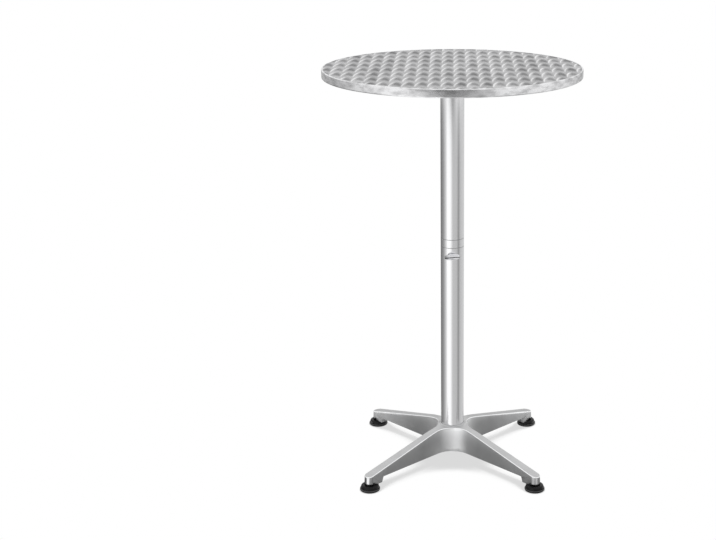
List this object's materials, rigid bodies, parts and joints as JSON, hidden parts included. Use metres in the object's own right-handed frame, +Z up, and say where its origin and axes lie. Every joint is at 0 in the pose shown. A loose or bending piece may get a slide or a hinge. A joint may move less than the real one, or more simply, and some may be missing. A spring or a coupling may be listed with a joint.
{
  "type": "folding bar table",
  "caption": "Round bar-height table: swirled steel top that tilts upright on a hinge, a clamp rod under it, a two-part tube column and a cast star base on levelling feet.",
  "frame": {"origin": "on the floor, on the column's axis", "axes": "+Z up; the base's legs point along the diagonals of X and Y; the lock knob faces -Y; the top's hinge is on the -X side and its clamp rod points to +X"},
  "size_m": [0.68, 0.68, 1.1],
  "materials": {
    "swirled_steel": "engine-turned stainless sheet, overlapping polished swirls",
    "swirled_band": "rolled stainless band with the same swirled polish",
    "satin_tube": "satin anodised aluminium tube, fine lengthwise lines",
    "cast_aluminium": "polished cast aluminium, softly uneven",
    "turned_aluminium": "turned bare aluminium",
    "spider_metal": "tumbled pressed aluminium",
    "box_metal": "warm grey coated steel",
    "chrome": "polished chrome",
    "zinc_steel": "zinc-plated steel",
    "black_steel": "blackened steel",
    "black_plastic": "moulded black plastic",
    "black_rubber": "black rubber",
    "white_laminate": "white laminate, faintly cool",
    "board": "pressed wood board",
    "nylon": "natural nylon"
  },
  "bodies": {
    "base": {"base_casting": "cast_aluminium", "lower_tube": "satin_tube", "tube_plug": "turned_aluminium", "base_washer": "zinc_steel", "base_bolt": "zinc_steel", "lock_bush": "zinc_steel"},
    "lock_knob": {"lock_knob": "chrome", "lock_stem": "zinc_steel"},
    "upper_column": {"upper_tube": "satin_tube", "joint_spigot": "satin_tube", "column_screws": "zinc_steel", "column_head": "turned_aluminium", "hinge_pin": "zinc_steel", "pin_clip": "black_steel"},
    "clamp": {"clamp_rod": "black_steel", "knob_nut": "zinc_steel", "clamp_knob": "black_plastic"},
    "top": {"top_sheet": "swirled_steel", "edge_band": "swirled_band", "core_board": "board", "backing_sheet": "white_laminate", "spider": "spider_metal", "spider_screws": "zinc_steel", "hinge_box": "box_metal", "box_bolts": "zinc_steel", "rest_pad": "black_rubber", "hinge_bushes": "nylon"},
    "foot_front_left": {"foot_pad_front_left": "black_rubber", "foot_stem_front_left": "zinc_steel"},
    "foot_front_right": {"foot_pad_front_right": "black_rubber", "foot_stem_front_right": "zinc_steel"},
    "foot_rear_left": {"foot_pad_rear_left": "black_rubber", "foot_stem_rear_left": "zinc_steel"},
    "foot_rear_right": {"foot_pad_rear_right": "black_rubber", "foot_stem_rear_right": "zinc_steel"}
  },
  "joints": [
    {"name": "column_lift", "type": "slide", "parent": "base", "child": "upper_column", "axis": [0, 0, 1], "range_m": [0, 0.095]},
    {"name": "top_tilt", "type": "hinge", "parent": "upper_column", "child": "top", "pos_m": [-0.045, 0, 1.0605], "axis": [0, -1, 0], "range_deg": [0, 90]},
    {"name": "clamp_turn", "type": "hinge", "parent": "upper_column", "child": "clamp", "pos_m": [0.1, 0, 1.0607], "axis": [1, 0, 0], "continuous": true},
    {"name": "lock_turn", "type": "hinge", "parent": "base", "child": "lock_knob", "pos_m": [0, -0.04, 0.597], "axis": [0, -1, 0], "continuous": true},
    {"name": "foot_front_left_turn", "type": "hinge", "parent": "base", "child": "foot_front_left", "pos_m": [-0.2205, -0.2205, 0.016], "axis": [0, 0, 1], "continuous": true},
    {"name": "foot_front_right_turn", "type": "hinge", "parent": "base", "child": "foot_front_right", "pos_m": [0.2205, -0.2205, 0.016], "axis": [0, 0, 1], "continuous": true},
    {"name": "foot_rear_left_turn", "type": "hinge", "parent": "base", "child": "foot_rear_left", "pos_m": [-0.2205, 0.2205, 0.016], "axis": [0, 0, 1], "continuous": true},
    {"name": "foot_rear_right_turn", "type": "hinge", "parent": "base", "child": "foot_rear_right", "pos_m": [0.2205, 0.2205, 0.016], "axis": [0, 0, 1], "continuous": true}
  ]
}
